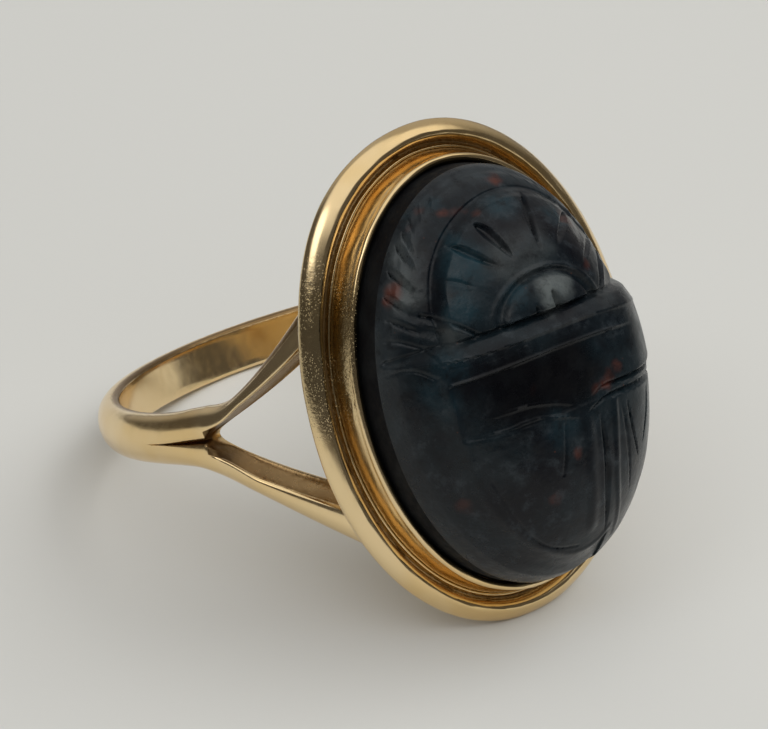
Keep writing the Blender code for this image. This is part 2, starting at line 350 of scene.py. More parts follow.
def shoulder_half_width(arc, half):
    """From the middle to a branch's outer edge: a steady spread, the upper branch the slimmer one."""
    past = arc - CROTCH
    spread = SHOULDER_SLOPE * SPREAD_BEND * soft_ramp((past - SPREAD_DELAY) / SPREAD_BEND)
    shift = BRANCH_SHIFT * float(smooth_step((past + SHIFT_LEAD) / SHIFT_RUN))
    if half < 0:
        shift *= 0.75 - 0.55 * float(smooth_step((past - 1.5) / 4.5))
    return BAND_WIDTH / 2 + spread - half * shift - branch_bow(past, half)


def branch_bow(past, half):
    """How far the upper branch curves in toward the gap, most of all halfway along."""
    share = min(max(past / BRANCH_RUN, 0.0), 1.0)
    return BRANCH_BOW * 4 * share * (1 - share) if half > 0 else 0.0


def gap_half_width(arc, half):
    """Half the open gap between the branches at the finger side, round at its tip."""
    run = max(arc - CROTCH, 0)
    return math.sqrt((run * GAP_SLOPE + GAP_TIP) ** 2 - GAP_TIP**2) - branch_bow(run, half)


def shoulder_section(arc, half, edge_steps):
    """One half of the band's section as (outward, up) points, from the finger side to the flute."""
    outer = shoulder_half_width(arc, half)
    inner = gap_half_width(arc, half)
    fluted = float(smooth_step((arc - FLUTE_START) / (CROTCH - FLUTE_START)))
    eased = inner * float(smooth_step((arc - CROTCH) / CREST_EASE))
    crest = eased + CREST_PLACE * fluted * (outer - eased)
    opened = float(smooth_step((arc - CROTCH) / CROTCH_DEPTH))
    floor = BAND_THICKNESS - FLUTE_DEPTH * fluted
    floor += (GAP_LIP - floor) * opened
    points = [(0, inner + (outer - EDGE_ROUND - inner) * share) for share in (0, 0.33, 0.67, 0.94)]
    for lift, short in ((0.10, 0.80), (0.45, 0.35), (1.0, 0.08)):
        points.append((lift * EDGE_ROUND, outer - short * EDGE_ROUND))
    for step in range(edge_steps + 1):
        turn = math.radians(90 * step / edge_steps)
        lift = EDGE_HEIGHT + (BAND_THICKNESS - EDGE_HEIGHT) * math.sin(turn)
        points.append((lift, crest + (outer - crest) * math.cos(turn)))
    slit = SLIT_HALF_WIDTH * fluted
    for step in range(1, FLUTE_STEPS + 1):
        share = step / FLUTE_STEPS
        hollow = BAND_THICKNESS + (floor - BAND_THICKNESS) * float(smooth_step(share))
        across = crest + (inner - crest) * share
        cut = float(smooth_step(1.25 - abs(across - inner) / max(slit, 0.02)))
        narrow = BAND_THICKNESS + (floor - BAND_THICKNESS) * cut - SLIT_SINK * share**3 * fluted
        points.append((narrow + (hollow - narrow) * opened, across))
    return points


def band_arcs():
    """Arc lengths of the sections, and how many belong to the part that isn't split."""
    drop = PLATE_TO_FINGER + FINGER_RADIUS * math.cos(STRAIGHT_ANGLE)
    end = BEND_END + drop / math.sin(STRAIGHT_ANGLE)
    plain = [FLUTE_START * step / PLAIN_SECTIONS for step in range(PLAIN_SECTIONS)]
    shares = [step / FLUTED_SECTIONS for step in range(FLUTED_SECTIONS + 1)]
    fluted = [FLUTE_START + (CROTCH - FLUTE_START) * share for share in shares]
    shares = [(step / BRANCH_SECTIONS) ** BRANCH_CROWDING for step in range(1, BRANCH_SECTIONS + 1)]
    open_part = [CROTCH + (end - CROTCH) * share for share in shares]
    return plain + fluted + open_part, len(plain) + len(fluted)


def flare(point, middle):
    """Widens a branch where solder fills its joint with the setting."""
    clear = max(PLATE_TO_FINGER + point.y, 0.0)
    share = max(1 - clear / FILLET_RUN, 0.0)
    away = point - middle
    away.y = 0
    if share == 0 or away.length == 0:
        return point
    return point + away.normalized() * FILLET_FLARE * share**3


def make_shank():
    """The band's four quarters, each swept along its arc and closed at the setting's back."""
    arcs, solid_count = band_arcs()
    points, faces, dirt_and_painted_shade = [], [], []
    for side in (-1, 1):
        for half in (-1, 1):
            rows = []
            for station, arc in enumerate(arcs):
                section = shoulder_section(arc, half, 12)
                placed = [along_band(arc, outward, half * up, side) for outward, up in section]
                middle = sum(placed, Vector()) / len(placed)
                row = []
                for place, point in enumerate(placed):
                    if station >= solid_count:
                        point = flare(point, middle)
                    row.append(len(points))
                    points.append(limit_to_plate(point))
                    dirt_and_painted_shade.append(band_dirt_and_painted_shade(arc, place, len(section), half))
                rows.append(row)
            for station in range(len(arcs) - 1):
                here, there = rows[station], rows[station + 1]
                quads = [(here[i], here[i + 1], there[i + 1], there[i]) for i in range(len(here) - 1)]
                if station >= solid_count - 1:
                    quads.append((here[-1], here[0], there[0], there[-1]))
                faces += [quad if side * half > 0 else quad[::-1] for quad in quads]
            faces.append(tuple(rows[-1]) if side * half > 0 else tuple(rows[-1][::-1]))
    piece = make_piece("band", points, faces, gold_material("band_gold", 0.0), 70)
    add_values(piece, "dirt_and_painted_shade", dirt_and_painted_shade)
    weld(piece)
    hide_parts("shank")
    return piece


def band_dirt_and_painted_shade(arc, place, count, half):
    """Dirt and painted shade in the flute and crotch, where shade falls; a painted dark line along the hole's
    edge; a rough brown skin on the upper branch.
    """
    past = arc - CROTCH
    split = float(smooth_step(past / 1.2))
    near_crotch = math.exp(-((past - 0.2) / 0.8) ** 2)
    if place >= count - SLIT_PLACES or (place >= count - HOLLOW_PLACES and split > 0):
        return 0.45 * max(split, float(smooth_step((past + 3.2) / 1.5))) + 0.40 * near_crotch
    if half > 0 and place in SKIN_PLACES:
        return 0.62 * float(smooth_step((past - 0.2) / 1.6))
    # Painted shade: a dark line along the hole's edge before the branches part
    if half > 0 and place in HOLE_EDGE_PLACES:
        return 0.70 * (1 - split)
    return 0.0


def limit_to_plate(point):
    """Keeps the branches' ends just inside the setting's back plate."""
    deepest = -(PLATE_TO_FINGER + 0.03)
    if point.y < deepest:
        point = point.copy()
        point.y = deepest
    return point


def weld(piece):
    """Joins the points that neighbouring sweeps share."""
    mesh = bmesh.new()
    mesh.from_mesh(piece.data)
    bmesh.ops.remove_doubles(mesh, verts=mesh.verts, dist=2e-7)
    bmesh.ops.dissolve_degenerate(mesh, edges=mesh.edges, dist=1e-7)
    bmesh.ops.recalc_face_normals(mesh, faces=mesh.faces)
    mesh.to_mesh(piece.data)
    mesh.free()


# Scarab: distances and strokes on the stone's plan, x right and z towards the head, in millimetres


def curve_distance(x, z, points):
    """Distance to a line through points, the share along it, and which side (positive to its left)."""
    nearest = np.full(x.shape, 1e9)
    along = np.zeros(x.shape)
    side = np.ones(x.shape)
    lengths = [math.dist(a, b) for a, b in zip(points, points[1:])]
    total = sum(lengths)
    passed = 0.0
    for (start, end), length in zip(zip(points, points[1:]), lengths):
        run = (end[0] - start[0], end[1] - start[1])
        share = np.clip(((x - start[0]) * run[0] + (z - start[1]) * run[1]) / length**2, 0, 1)
        off_x = x - start[0] - share * run[0]
        off_z = z - start[1] - share * run[1]
        away = np.hypot(off_x, off_z)
        closer = away < nearest
        nearest = np.where(closer, away, nearest)
        along = np.where(closer, (passed + share * length) / total, along)
        side = np.where(closer, np.sign(run[0] * off_z - run[1] * off_x), side)
        passed += length
    return nearest, along, side


def rounded(points, steps=6):
    """A smooth curve through a few points, by the Catmull-Rom formula."""
    ends = [points[0]] + list(points) + [points[-1]]
    curve = []
    for before, start, end, after in zip(ends, ends[1:], ends[2:], ends[3:]):
        for step in range(steps):
            t = step / steps
            place = []
            for p, a, b, q in zip(before, start, end, after):
                bend = (b - p) * t + (2 * p - 5 * a + 4 * b - q) * t**2 + (3 * a - p - 3 * b + q) * t**3
                place.append(a + 0.5 * bend)
            curve.append(tuple(place))
    curve.append(tuple(points[-1]))
    return curve


def groove(x, z, points, width, depth):
    """A cut of even width along a curve; a negative depth raises it instead."""
    away, _, _ = curve_distance(x, z, rounded(points))
    return -depth * ridge(away, width)


def leaf_cut(x, z, points, width, depth, widest=0.4):
    """A cut like a willow leaf: pointed at both ends and widest part of the way along."""
    away, along, _ = curve_distance(x, z, rounded(points))
    bulge = np.where(along < widest, along / widest, (1 - along) / (1 - widest))
    breadth = width * np.sqrt(np.clip(bulge, 0.02, 1))
    return -depth * ridge(away, breadth) * np.clip(bulge * 2.5, 0, 1)


def oval_distance(x, z, centre, half_width, half_length):
    """Roughly the signed distance to an oval's line, negative inside."""
    around = np.hypot((x - centre[0]) / half_width, (z - centre[1]) / half_length)
    return (around - 1) * min(half_width, half_length)


# The clypeus's fan and the head's oval: middle, half width and half length
FAN_CENTRE = (0.36, 2.50)
FAN_SIZE = (3.68, 3.90)
HEAD_CENTRE = (0.10, 2.20)
HEAD_SIZE = (1.90, 1.48)

# How full the stone's back is beside the fan, and how far the head's end lies below the thorax
LEG_FULLNESS = 2.5
HEAD_DROP = 0.26

# How far the polished edge rolls down over the ground wall, and over what share of the radius
EDGE_DROP = 0.55
EDGE_REACH = 0.05

# Cuts between the clypeus's lobes: route, half width and depth
FAN_CUTS = (
    (((-1.05, 5.85), (-0.80, 5.35), (-0.50, 4.40)), 0.31, 0.30),
    (((-2.15, 5.40), (-1.70, 4.92), (-1.15, 4.33)), 0.25, 0.25),
    (((-2.90, 4.40), (-2.50, 4.22), (-2.05, 3.87)), 0.10, 0.06),
    (((1.50, 6.20), (1.00, 5.52), (0.71, 4.90), (0.64, 4.40)), 0.22, 0.28),
    (((3.02, 5.05), (2.20, 4.78), (1.39, 4.38)), 0.19, 0.19),
    (((3.90, 3.92), (3.10, 3.80), (2.22, 3.48)), 0.15, 0.14),
)

# Notches in front of the head: route, half width, depth and where they are widest
HEAD_NOTCHES = (
    (((0.30, 3.16), (0.36, 2.80), (0.42, 2.40)), 0.26, 0.30, 0.7),
    (((-0.50, 2.84), (-0.48, 2.60), (-0.52, 2.20)), 0.15, 0.18, 0.6),
)

# Barbs of the forelegs, from the stone's edge down towards the wing cases: route, width and depth
BARB_CUTS = (
    (((-4.50, 3.55), (-4.20, 3.20), (-3.85, 2.80)), 0.13, 0.14),
    (((-4.50, 4.75), (-4.18, 4.15), (-3.90, 3.40)), 0.14, 0.20),
    (((-3.98, 5.60), (-3.78, 4.94), (-3.60, 4.10)), 0.15, 0.24),
    (((-3.25, 6.20), (-3.24, 5.56), (-3.30, 4.80)), 0.14, 0.20),
    (((-2.78, 6.60), (-2.95, 5.89), (-3.10, 5.20)), 0.10, 0.12),
    (((-2.40, 6.90), (-2.58, 6.34), (-2.78, 5.77)), 0.06, 0.05),
    (((-1.82, 7.11), (-2.18, 6.51), (-2.44, 6.05)), 0.05, -0.035),
    (((-1.46, 7.05), (-1.70, 6.74), (-1.89, 6.49)), 0.05, -0.035),
    (((-1.36, 7.30), (-1.30, 7.05)), 0.06, 0.05),
)


def fan_relief(x, z):
    """The toothed clypeus around the head: lobes with leaf-shaped cuts between them."""
    edge = oval_distance(x, z, FAN_CENTRE, *FAN_SIZE)
    inside = 1 - smooth_step((edge + 0.08) / 0.20)
    height = -0.08 * inside + 0.16 * inside * smooth_step(-edge / 1.6)
    height -= (0.32 - 0.16 * smooth_step((x + 1.5) / 2.5)) * ridge(edge - 0.03, 0.19)
    for points, width, depth in FAN_CUTS:
        height += leaf_cut(x, z, points, width, depth, 0.32) * inside
    lobes = np.arctan2(z - FAN_CENTRE[1], x - FAN_CENTRE[0])
    scallop = np.abs(np.sin(4.5 * (lobes + 0.12)))
    height += 0.08 * (scallop - 0.5) * inside * smooth_step((edge + 1.3) / 1.0)
    return height


def head_relief(x, z):
    """The head: a dome in a moat, with a thin lip around it and two notches in front."""
    edge = oval_distance(x, z, HEAD_CENTRE, *HEAD_SIZE)
    height = 0.30 * np.sqrt(np.clip(-edge / 1.3, 0, 1)) * (edge < 0)
    height -= 0.15 * ridge(edge - 0.04, 0.22)
    height += 0.05 * ridge(edge - 0.27, 0.12)
    for points, width, depth, widest in HEAD_NOTCHES:
        height += leaf_cut(x, z, points, width, depth, widest)
    return height


def foreleg_relief(x, z):
    """Forelegs folded beside the clypeus: overlapping barbs, each rising towards the next cut."""
    sideways = -np.abs(x)
    height = np.zeros(x.shape)
    for route, width, depth in BARB_CUTS:
        away, along, side = curve_distance(sideways, z, rounded(route))
        fade = np.clip(np.minimum(along, 1 - along) * 3, 0, 1)
        height += 0.5 * abs(depth) * smooth_step(1 - away / 0.45) * (side > 0) * fade
        height -= depth * ridge(away, width) * fade
    return height


# The middle legs' bands, raised where the depth is negative: route, half width and depth
MIDDLE_LEG_STROKES = (
    (((4.95, 3.05), (4.40, 2.95), (3.75, 2.45)), 0.34, -0.05),
    (((4.90, 2.78), (4.44, 2.66), (4.01, 2.36), (3.60, 2.14)), 0.10, 0.05),
    (((3.66, 3.36), (3.20, 3.05), (2.78, 2.61), (2.34, 2.10)), 0.11, 0.15),
    (((3.60, 3.02), (3.05, 2.68), (2.60, 2.30)), 0.16, -0.07),
)


def middle_leg_relief(x, z):
    """The second pair of legs, two slanting bands that tuck in behind the clypeus."""
    return sum(groove(np.abs(x), z, *stroke) for stroke in MIDDLE_LEG_STROKES)


def neck_line(x):
    """Where the head's end meets the thorax."""
    return 2.40 - 0.018 * x**2


def front_line(x):
    """Where the thorax's bevelled front ends."""
    return 1.88 - 0.012 * x**2 - 0.002 * x**3


def thorax_relief(x, z):
    """The thorax: a bevelled front with fine scratches behind it, and a low step across."""
    ahead = (z - front_line(x)) / (neck_line(x) - front_line(x))
    height = -0.24 * smooth_step(ahead) + 0.035 * ridge(ahead, 0.20)
    for behind, depth in ((0.07, 0.040), (0.16, 0.030), (0.27, 0.022)):
        height -= depth * ridge(z - front_line(x) + behind, 0.055) * smooth_step((2.0 - x) / 0.8) * (x > -3.8)
    step_line = z - (1.20 - 0.016 * x**2)
    broad = smooth_step((3.95 + x) / 0.1) * smooth_step((3.4 - x) / 1.5)
    height -= 0.08 * (1 - smooth_step((step_line + 0.04) / 0.07)) * broad
    height += 0.055 * ridge(step_line - 0.04, 0.09) * broad
    return height


# Lines across the thorax's rear: two fine raised ones on the left and two cuts on the right
REAR_LEFT_FRONT = ((-3.20, -0.36), (-2.33, -0.34), (-1.60, -0.36), (-0.46, -0.66), (0.50, -1.15))
REAR_LEFT_BACK = ((-3.75, -0.90), (-2.61, -0.92), (-1.87, -0.86), (-1.11, -0.95), (0.45, -1.45))
REAR_RIGHT_BACK = ((0.30, -1.40), (1.13, -1.10), (1.81, -1.05), (2.86, -1.09), (4.20, -1.13), (5.10, -1.10))
REAR_RIGHT_FRONT = ((0.70, -0.90), (1.35, -0.68), (2.07, -0.68), (3.48, -0.69), (4.30, -0.64), (5.10, -0.55))

# Their route, half width, depth (raised where it is negative) and where they are widest
REAR_LINES = (
    (REAR_LEFT_FRONT, 0.11, -0.045, 0.5),
    (REAR_LEFT_BACK, 0.12, -0.06, 0.4),
    (REAR_RIGHT_BACK, 0.17, 0.22, 0.8),
    (REAR_RIGHT_FRONT, 0.16, 0.22, 0.8),
)

# The wing cases' border, from the thorax round to the tail
WING_BORDER = (
    (-3.92, 1.60), (-3.96, 0.53), (-3.88, -0.60), (-3.81, -1.66), (-3.63, -2.80), (-3.21, -3.76),
    (-2.67, -4.61), (-1.80, -5.56), (-0.80, -6.16), (-0.10, -6.33), (0.60, -6.20), (1.15, -5.80),
)

# The groove inside that border
WING_EDGE = ((-3.30, -2.60), (-2.92, -3.57), (-2.56, -4.33), (-2.03, -5.12), (-1.27, -5.74), (-0.30, -6.02))

# Strokes on the wing cases, raised where the depth is negative: route, half width and depth
WING_STROKES = (
    (WING_EDGE, 0.07, 0.05),
    (((-0.56, -1.38), (-0.71, -2.10), (-0.98, -3.10)), 0.06, 0.04),
    (((0.38, -1.45), (0.29, -2.63), (0.17, -4.06), (0.16, -5.40)), 0.34, -0.05),
    (((1.68, -1.28), (1.45, -2.68), (1.34, -4.13), (1.63, -6.30)), 0.18, -0.06),
)

# The line where the wing cases meet
WING_SEAM = ((0.95, -1.45), (0.91, -2.48), (0.86, -3.57), (0.80, -4.67), (0.92, -6.00))

# Slim cuts of the hind legs down the right flank: route, half width and depth
HIND_LEG_CUTS = (
    (((2.25, -1.40), (2.31, -2.62), (2.55, -3.70)), 0.085, 0.10),
    (((3.62, -1.35), (3.30, -2.32), (2.85, -3.30)), 0.10, 0.14),
    (((4.35, -1.40), (4.10, -2.60), (3.55, -4.20)), 0.10, 0.12),
    (((1.95, -1.40), (1.98, -3.00), (2.05, -5.00)), 0.10, 0.05),
)

# The fold at the left end of the thorax
THORAX_FOLD = ((-5.10, 1.50), (-4.76, 1.70), (-4.42, 1.62), (-4.12, 1.30))


def wing_relief(x, z):
    """The wing cases: a rounded shield with a raised edge, and lines down its right side."""
    away, _, side = curve_distance(x, z, rounded(WING_BORDER))
    height = -0.12 * smooth_step((-side * away + 0.05) / 0.55) * (x < 1.1)
    height += 0.045 * ridge(away, 0.18)
    height += sum(groove(x, z, *stroke) for stroke in WING_STROKES)
    height += leaf_cut(x, z, WING_SEAM, 0.17, 0.13, 0.5)
    return height


def hind_leg_relief(x, z):
    """Hind legs: slim cuts down the right flank behind the thorax."""
    return sum(leaf_cut(x, z, *cut) for cut in HIND_LEG_CUTS)


def flank_swell(x, z):
    """The right flank stands fuller beside the thorax than beside the wing cases."""
    beside_thorax = smooth_step((z + 0.9) / 0.35)
    full = smooth_step((x - 1.2) / 2.6) * smooth_step((5.3 - x) / 0.9)
    return full * (0.16 + 0.20 * beside_thorax)


def carving(x, z):
    """Relief over the smooth back, in millimetres."""
    out = np.minimum(np.hypot(x / (STONE_WIDTH / 2), z / (STONE_LENGTH / 2)), 1)
    neck = neck_line(x)
    front = smooth_step((z - neck) / 0.16)
    outside_fan = smooth_step(oval_distance(x, z, FAN_CENTRE, *FAN_SIZE) / 0.18)
    slack = BACK_HEIGHT * (out**LEG_FULLNESS - out**BACK_FULLNESS)
    ahead = -HEAD_DROP + fan_relief(x, z) + head_relief(x, z) + outside_fan * (foreleg_relief(x, z) - slack)
    ahead += middle_leg_relief(x, z)
    behind = thorax_relief(x, z) * smooth_step((z + 1.1) / 0.2)
    for points, width, depth, widest in REAR_LINES:
        behind += leaf_cut(x, z, points, width, depth, widest)
    behind += wing_relief(x, z) + hind_leg_relief(x, z) + flank_swell(x, z)
    behind += groove(x, z, THORAX_FOLD, 0.08, 0.07)
    height = front * ahead + (1 - front) * behind
    height -= 0.20 * ridge(z - neck - 0.04, 0.15)
    return height


def polish_waver(x, z):
    """Slow unevenness that hand polishing leaves in a hard stone."""
    broad = np.sin(1.9 * x + 0.7 * z) * np.sin(1.3 * z - 0.5 * x)
    return 0.012 * broad + 0.006 * np.sin(4.1 * x + 3.3 * z + 1.0)


def make_scarab():
    """The beetle's back over a grid squeezed into the stone's oval, and its plain ground wall."""
    base = PLATE_TO_FINGER + PLATE_THICKNESS + SEAT_GAP
    half_length = STONE_LENGTH / 2 - STONE_TAPER
    half_width = STONE_WIDTH / 2 - STONE_TAPER
    up, right = np.meshgrid(
        np.linspace(-1, 1, STONE_ROWS + 1), np.linspace(-1, 1, STONE_COLUMNS + 1), indexing="ij"
    )
    x = right * np.sqrt(1 - up**2 / 2)
    z = up * np.sqrt(1 - right**2 / 2)
    out = np.minimum(np.hypot(x, z), 1)
    crowd = 1 + RIM_CROWDING * (1 - out**2)
    x, z, out = x * crowd, z * crowd, np.minimum(out * crowd, 1)
    across, along = x * half_width, z * half_length
    relief = (carving(across, along) + polish_waver(across, along)) * smooth_step((1 - out) / 0.04)
    back = STONE_WALL + BACK_HEIGHT * (1 - out**BACK_FULLNESS) + relief
    back -= EDGE_DROP * np.clip((out - 1 + EDGE_REACH) / EDGE_REACH, 0, 1) ** 1.6
    # Painted light: the stone is painted lighter along its edge, more towards the head, and over its right
    # flank beside the thorax
    painted_edge_light = smooth_step((out - 0.90) / 0.06) * (0.30 + 0.70 * smooth_step((along - 1.0) / 2.0))
    painted_edge_light = np.maximum(painted_edge_light, 0.9 * smooth_step((across - 2.9) / 1.4) * smooth_step((2.4 - along) / 1.5))
    points = [tuple(point) for point in np.stack([across, -base - back, along], -1).reshape(-1, 3)]
    count = STONE_COLUMNS + 1
    faces = []
    for row in range(STONE_ROWS):
        for column in range(STONE_COLUMNS):
            first = row * count + column
            faces.append((first, first + 1, first + count + 1, first + count))
    carved = len(faces)
    rim = list(range(count))
    rim += [row * count + STONE_COLUMNS for row in range(1, STONE_ROWS + 1)]
    rim += [STONE_ROWS * count + column for column in range(STONE_COLUMNS - 1, -1, -1)]
    rim += [row * count for row in range(STONE_ROWS - 1, 0, -1)]
    ring = rim
    for share in (0.5, 0.0):
        lower = []
        for index in rim:
            edge_x, edge_y, edge_z = points[index]
            widen = 1 + (1 - share) * STONE_TAPER / half_width
            lower.append(len(points))
            points.append((edge_x * widen, -base - share * (STONE_WALL - EDGE_DROP), edge_z * widen))
        for i in range(len(rim)):
            j = (i + 1) % len(rim)
            faces.append((ring[i], lower[i], lower[j], ring[j]))
        ring = lower
    faces.append(tuple(ring[::-1]))
    piece = make_piece("beetle", points, faces, bloodstone_material(), 50)
    piece.data.materials.append(shaded_side_stone_material())
    for index in range(carved, len(piece.data.polygons)):
        piece.data.polygons[index].material_index = 1
    add_values(piece, "painted_edge_light", list(painted_edge_light.reshape(-1)) + [0.0] * (len(points) - painted_edge_light.size))
    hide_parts("scarab")
    return piece


# Materials


class Nodes:
    """Short calls for building one node tree."""

    def __init__(self, tree, shader, coordinates):
        self.tree = tree
        self.shader = tree.nodes[shader]
        self.coordinates = self.add("TexCoord").outputs[coordinates]

    def add(self, kind, **numbers):
        """A new node with some of its inputs set."""
        node = self.tree.nodes.new("ShaderNode" + kind)
        for name, number in numbers.items():
            node.inputs[name].default_value = number
        return node

    def give(self, socket, value):
        """Sets an input to a number or colour, or links it."""
        if hasattr(value, "is_output"):
            self.tree.links.new(value, socket)
        else:
            socket.default_value = value

    def set(self, name, value):
        """Gives one of the shader's own inputs its value."""
        self.give(self.shader.inputs[name], value)

    def noise(self, scale, detail, roughness=0.55, vector=None):
        node = self.add("TexNoise", Scale=scale, Detail=detail, Roughness=roughness)
        self.give(node.inputs["Vector"], vector or self.coordinates)
        return node.outputs["Fac"]

    def cells(self, scale, vector=None):
        """Distance to the nearest of many scattered points."""
        node = self.add("TexVoronoi", Scale=scale)
        self.give(node.inputs["Vector"], vector or self.coordinates)
        return node.outputs["Distance"]

    def stretch(self, scale, turn):
        """The object's coordinates, scaled and turned."""
        node = self.add("Mapping", Scale=scale, Rotation=turn)
        self.give(node.inputs["Vector"], self.coordinates)
        return node.outputs["Vector"]

    def shaken(self, scale, reach):
        """The object's coordinates, moved about by a noise, so that what is round turns ragged."""
        ripple = self.add("TexNoise", Scale=scale, Detail=3)
        self.give(ripple.inputs["Vector"], self.coordinates)
        moved = self.vector_math("MULTIPLY_ADD", ripple.outputs["Color"], (reach,) * 3, self.coordinates)
        return self.vector_math("SUBTRACT", moved, (reach / 2,) * 3)

    def distance_to(self, point, vector=None):
        return self.vector_math("DISTANCE", vector or self.coordinates, point, output="Value")

    def vector_math(self, operation, *values, output="Vector"):
        node = self.add("VectorMath")
        node.operation = operation
        for socket, value in zip(node.inputs, values):
            self.give(socket, value)
        return node.outputs[output]

    def math(self, operation, first, second=0.0, clamp=False):
        node = self.add("Math")
        node.operation = operation
        node.use_clamp = clamp
        self.give(node.inputs[0], first)
        self.give(node.inputs[1], second)
        return node.outputs["Value"]

    def between(self, value, low, high, to_low=0.0, to_high=1.0):
        """A soft ramp: to_low where the value is low, to_high where it is high."""
        limits = {"From Min": low, "From Max": high, "To Min": to_low, "To Max": to_high}
        node = self.add("MapRange", **limits)
        node.interpolation_type = "SMOOTHSTEP"
        self.give(node.inputs["Value"], value)
        return node.outputs["Result"]

    def mix(self, share, first, second):
        """The first colour, turning into the second as the share rises to 1."""
        node = self.add("Mix")
        node.data_type = "RGBA"
        self.give(node.inputs["Factor"], share)
        for name, colour in (("A", first), ("B", second)):
            self.give(node.inputs[name], colour if hasattr(colour, "is_output") else (*colour, 1))
        return node.outputs["Result"]

    def attribute(self, name):
        """The number that add_values() stored under a name."""
        node = self.add("Attribute")
        node.attribute_name = name
        return node.outputs["Fac"]

    def bump(self, height, distance, strength, normal=None):
        node = self.add("Bump", Distance=distance, Strength=strength)
        self.give(node.inputs["Height"], height)
        if normal is not None:
            self.give(node.inputs["Normal"], normal)
        return node.outputs["Normal"]


def new_material(name):
    """A material, and the calls that build it from places on the object."""
    material = bpy.data.materials.new(name)
    material.use_nodes = True
    return material, Nodes(material.node_tree, "Principled BSDF", "Object")


# Gold: its deep and pale tones, a worn patch painted darker as a dark reflection, the pits' painted glints,
# and dirt with painted shade in the grooves
GOLD_DEEP = (0.84, 0.61, 0.30)
GOLD_PALE = (0.89, 0.69, 0.40)
GOLD_WORN_AND_DARK_REFLECTION = (0.34, 0.27, 0.14)
GOLD_PAINTED_GLINT = (0.90, 0.78, 0.50)
DIRT_AND_SHADE_BROWN = (0.36, 0.23, 0.105)
DIRT_AND_SHADE_BLACK = (0.05, 0.03, 0.012)


def gold_material(name, wear_and_painted_light):
    """Old yellow gold: polished, scuffed, pitted where it is rubbed, with painted glints in the pits, a
    painted dark reflection on the worn rim, and dirt with painted shade in its grooves.
    """
    material, nodes = new_material(name)
    cloud = nodes.noise(260, 3)
    scuff = nodes.noise(2600, 5, 0.6, vector=nodes.stretch((1, 1, 0.25), (0.4, 0.2, 0.0)))
    pit_field = nodes.noise(420, 3)
    left_rim = nodes.between(nodes.distance_to(placement.to_part(WORN_AND_DARK_REFLECTION_PLACE)), 0.0036, 0.0014, 0, wear_and_painted_light)
    rubbed = nodes.math("MULTIPLY", nodes.between(pit_field, 0.40, 0.56), left_rim)
    rubbed = nodes.math("MAXIMUM", rubbed, nodes.between(pit_field, 0.66, 0.74, 0, 0.20 * wear_and_painted_light))
    pits_and_painted_glints = nodes.math("MULTIPLY", nodes.between(nodes.cells(13000), 0.30, 0.12), rubbed)
    dirt_and_painted_shade = nodes.math("MULTIPLY", nodes.attribute("dirt_and_painted_shade"), nodes.between(cloud, 0.2, 0.6, 0.6, 1.0))
    base = nodes.mix(nodes.between(cloud, 0.35, 0.65), GOLD_DEEP, GOLD_PALE)
    # Painted dark reflection: the worn patch on the rim's left is mixed towards a dark olive
    base = nodes.mix(nodes.math("MULTIPLY", left_rim, 0.55), base, GOLD_WORN_AND_DARK_REFLECTION)
    # Painted glints: the pits are mixed towards a pale gold
    base = nodes.mix(nodes.math("MULTIPLY", pits_and_painted_glints, 0.40), base, GOLD_PAINTED_GLINT)
    # Dirt and painted shade in grooves and hollows: brown, then near black where the shade is deepest
    base = nodes.mix(nodes.between(dirt_and_painted_shade, 0.05, 0.5), base, DIRT_AND_SHADE_BROWN)
    base = nodes.mix(nodes.between(dirt_and_painted_shade, 0.5, 1.0), base, DIRT_AND_SHADE_BLACK)
    nodes.set("Base Color", base)
    nodes.set("Metallic", 1.0)
    rough = nodes.between(scuff, 0.35, 0.75, 0.13, 0.23)
    rough = nodes.math("ADD", rough, nodes.math("MULTIPLY", pits_and_painted_glints, 0.20))
    nodes.set("Roughness", nodes.math("ADD", rough, nodes.math("MULTIPLY", dirt_and_painted_shade, 0.30), clamp=True))
    waver = nodes.bump(nodes.noise(420, 2), 0.00004, 0.5)
    fine = nodes.bump(scuff, 0.0000022, 0.5, waver)
    coarse = nodes.math("MAXIMUM", dirt_and_painted_shade, nodes.math("MULTIPLY", left_rim, 0.5))
    skin = nodes.bump(nodes.math("MULTIPLY", nodes.noise(5200, 3), coarse), 0.00005, 0.8, fine)
    nodes.set("Normal", nodes.bump(nodes.math("SUBTRACT", 1.0, pits_and_painted_glints), 0.00003, 0.9, skin))
    return material


# Patches in the stone: place on its plan (x, z) and radius in millimetres, and how strong
RED_PATCHES = (
    ((2.15, -0.10), 0.36, 0.7),
    ((1.74, -0.40), 0.36, 0.6),
    ((1.48, -0.63), 0.40, 0.8),
    ((1.03, -0.66), 0.30, 0.7),
    ((-1.44, 0.13), 0.24, 0.4),
    ((-0.32, -2.58), 0.34, 0.5),
    ((-1.36, -3.72), 0.36, 0.4),
    ((-3.87, -3.40), 0.45, 0.4),
    ((-4.45, -4.60), 0.30, 0.3),
    ((0.82, 7.04), 0.46, 0.8),
    ((-0.83, 6.28), 0.30, 0.6),
    ((-1.21, 6.50), 0.46, 0.7),
    ((-1.61, 6.60), 0.38, 0.7),
    ((-2.25, 6.60), 0.34, 0.7),
    ((-2.77, 6.19), 0.40, 0.8),
    ((-4.10, 4.34), 0.55, 1.0),
    ((-4.39, 4.00), 0.40, 0.9),
    ((-3.95, 2.70), 0.26, 0.6),
    ((2.72, 4.89), 0.52, 0.6),
    ((2.33, 3.34), 0.32, 0.5),
)
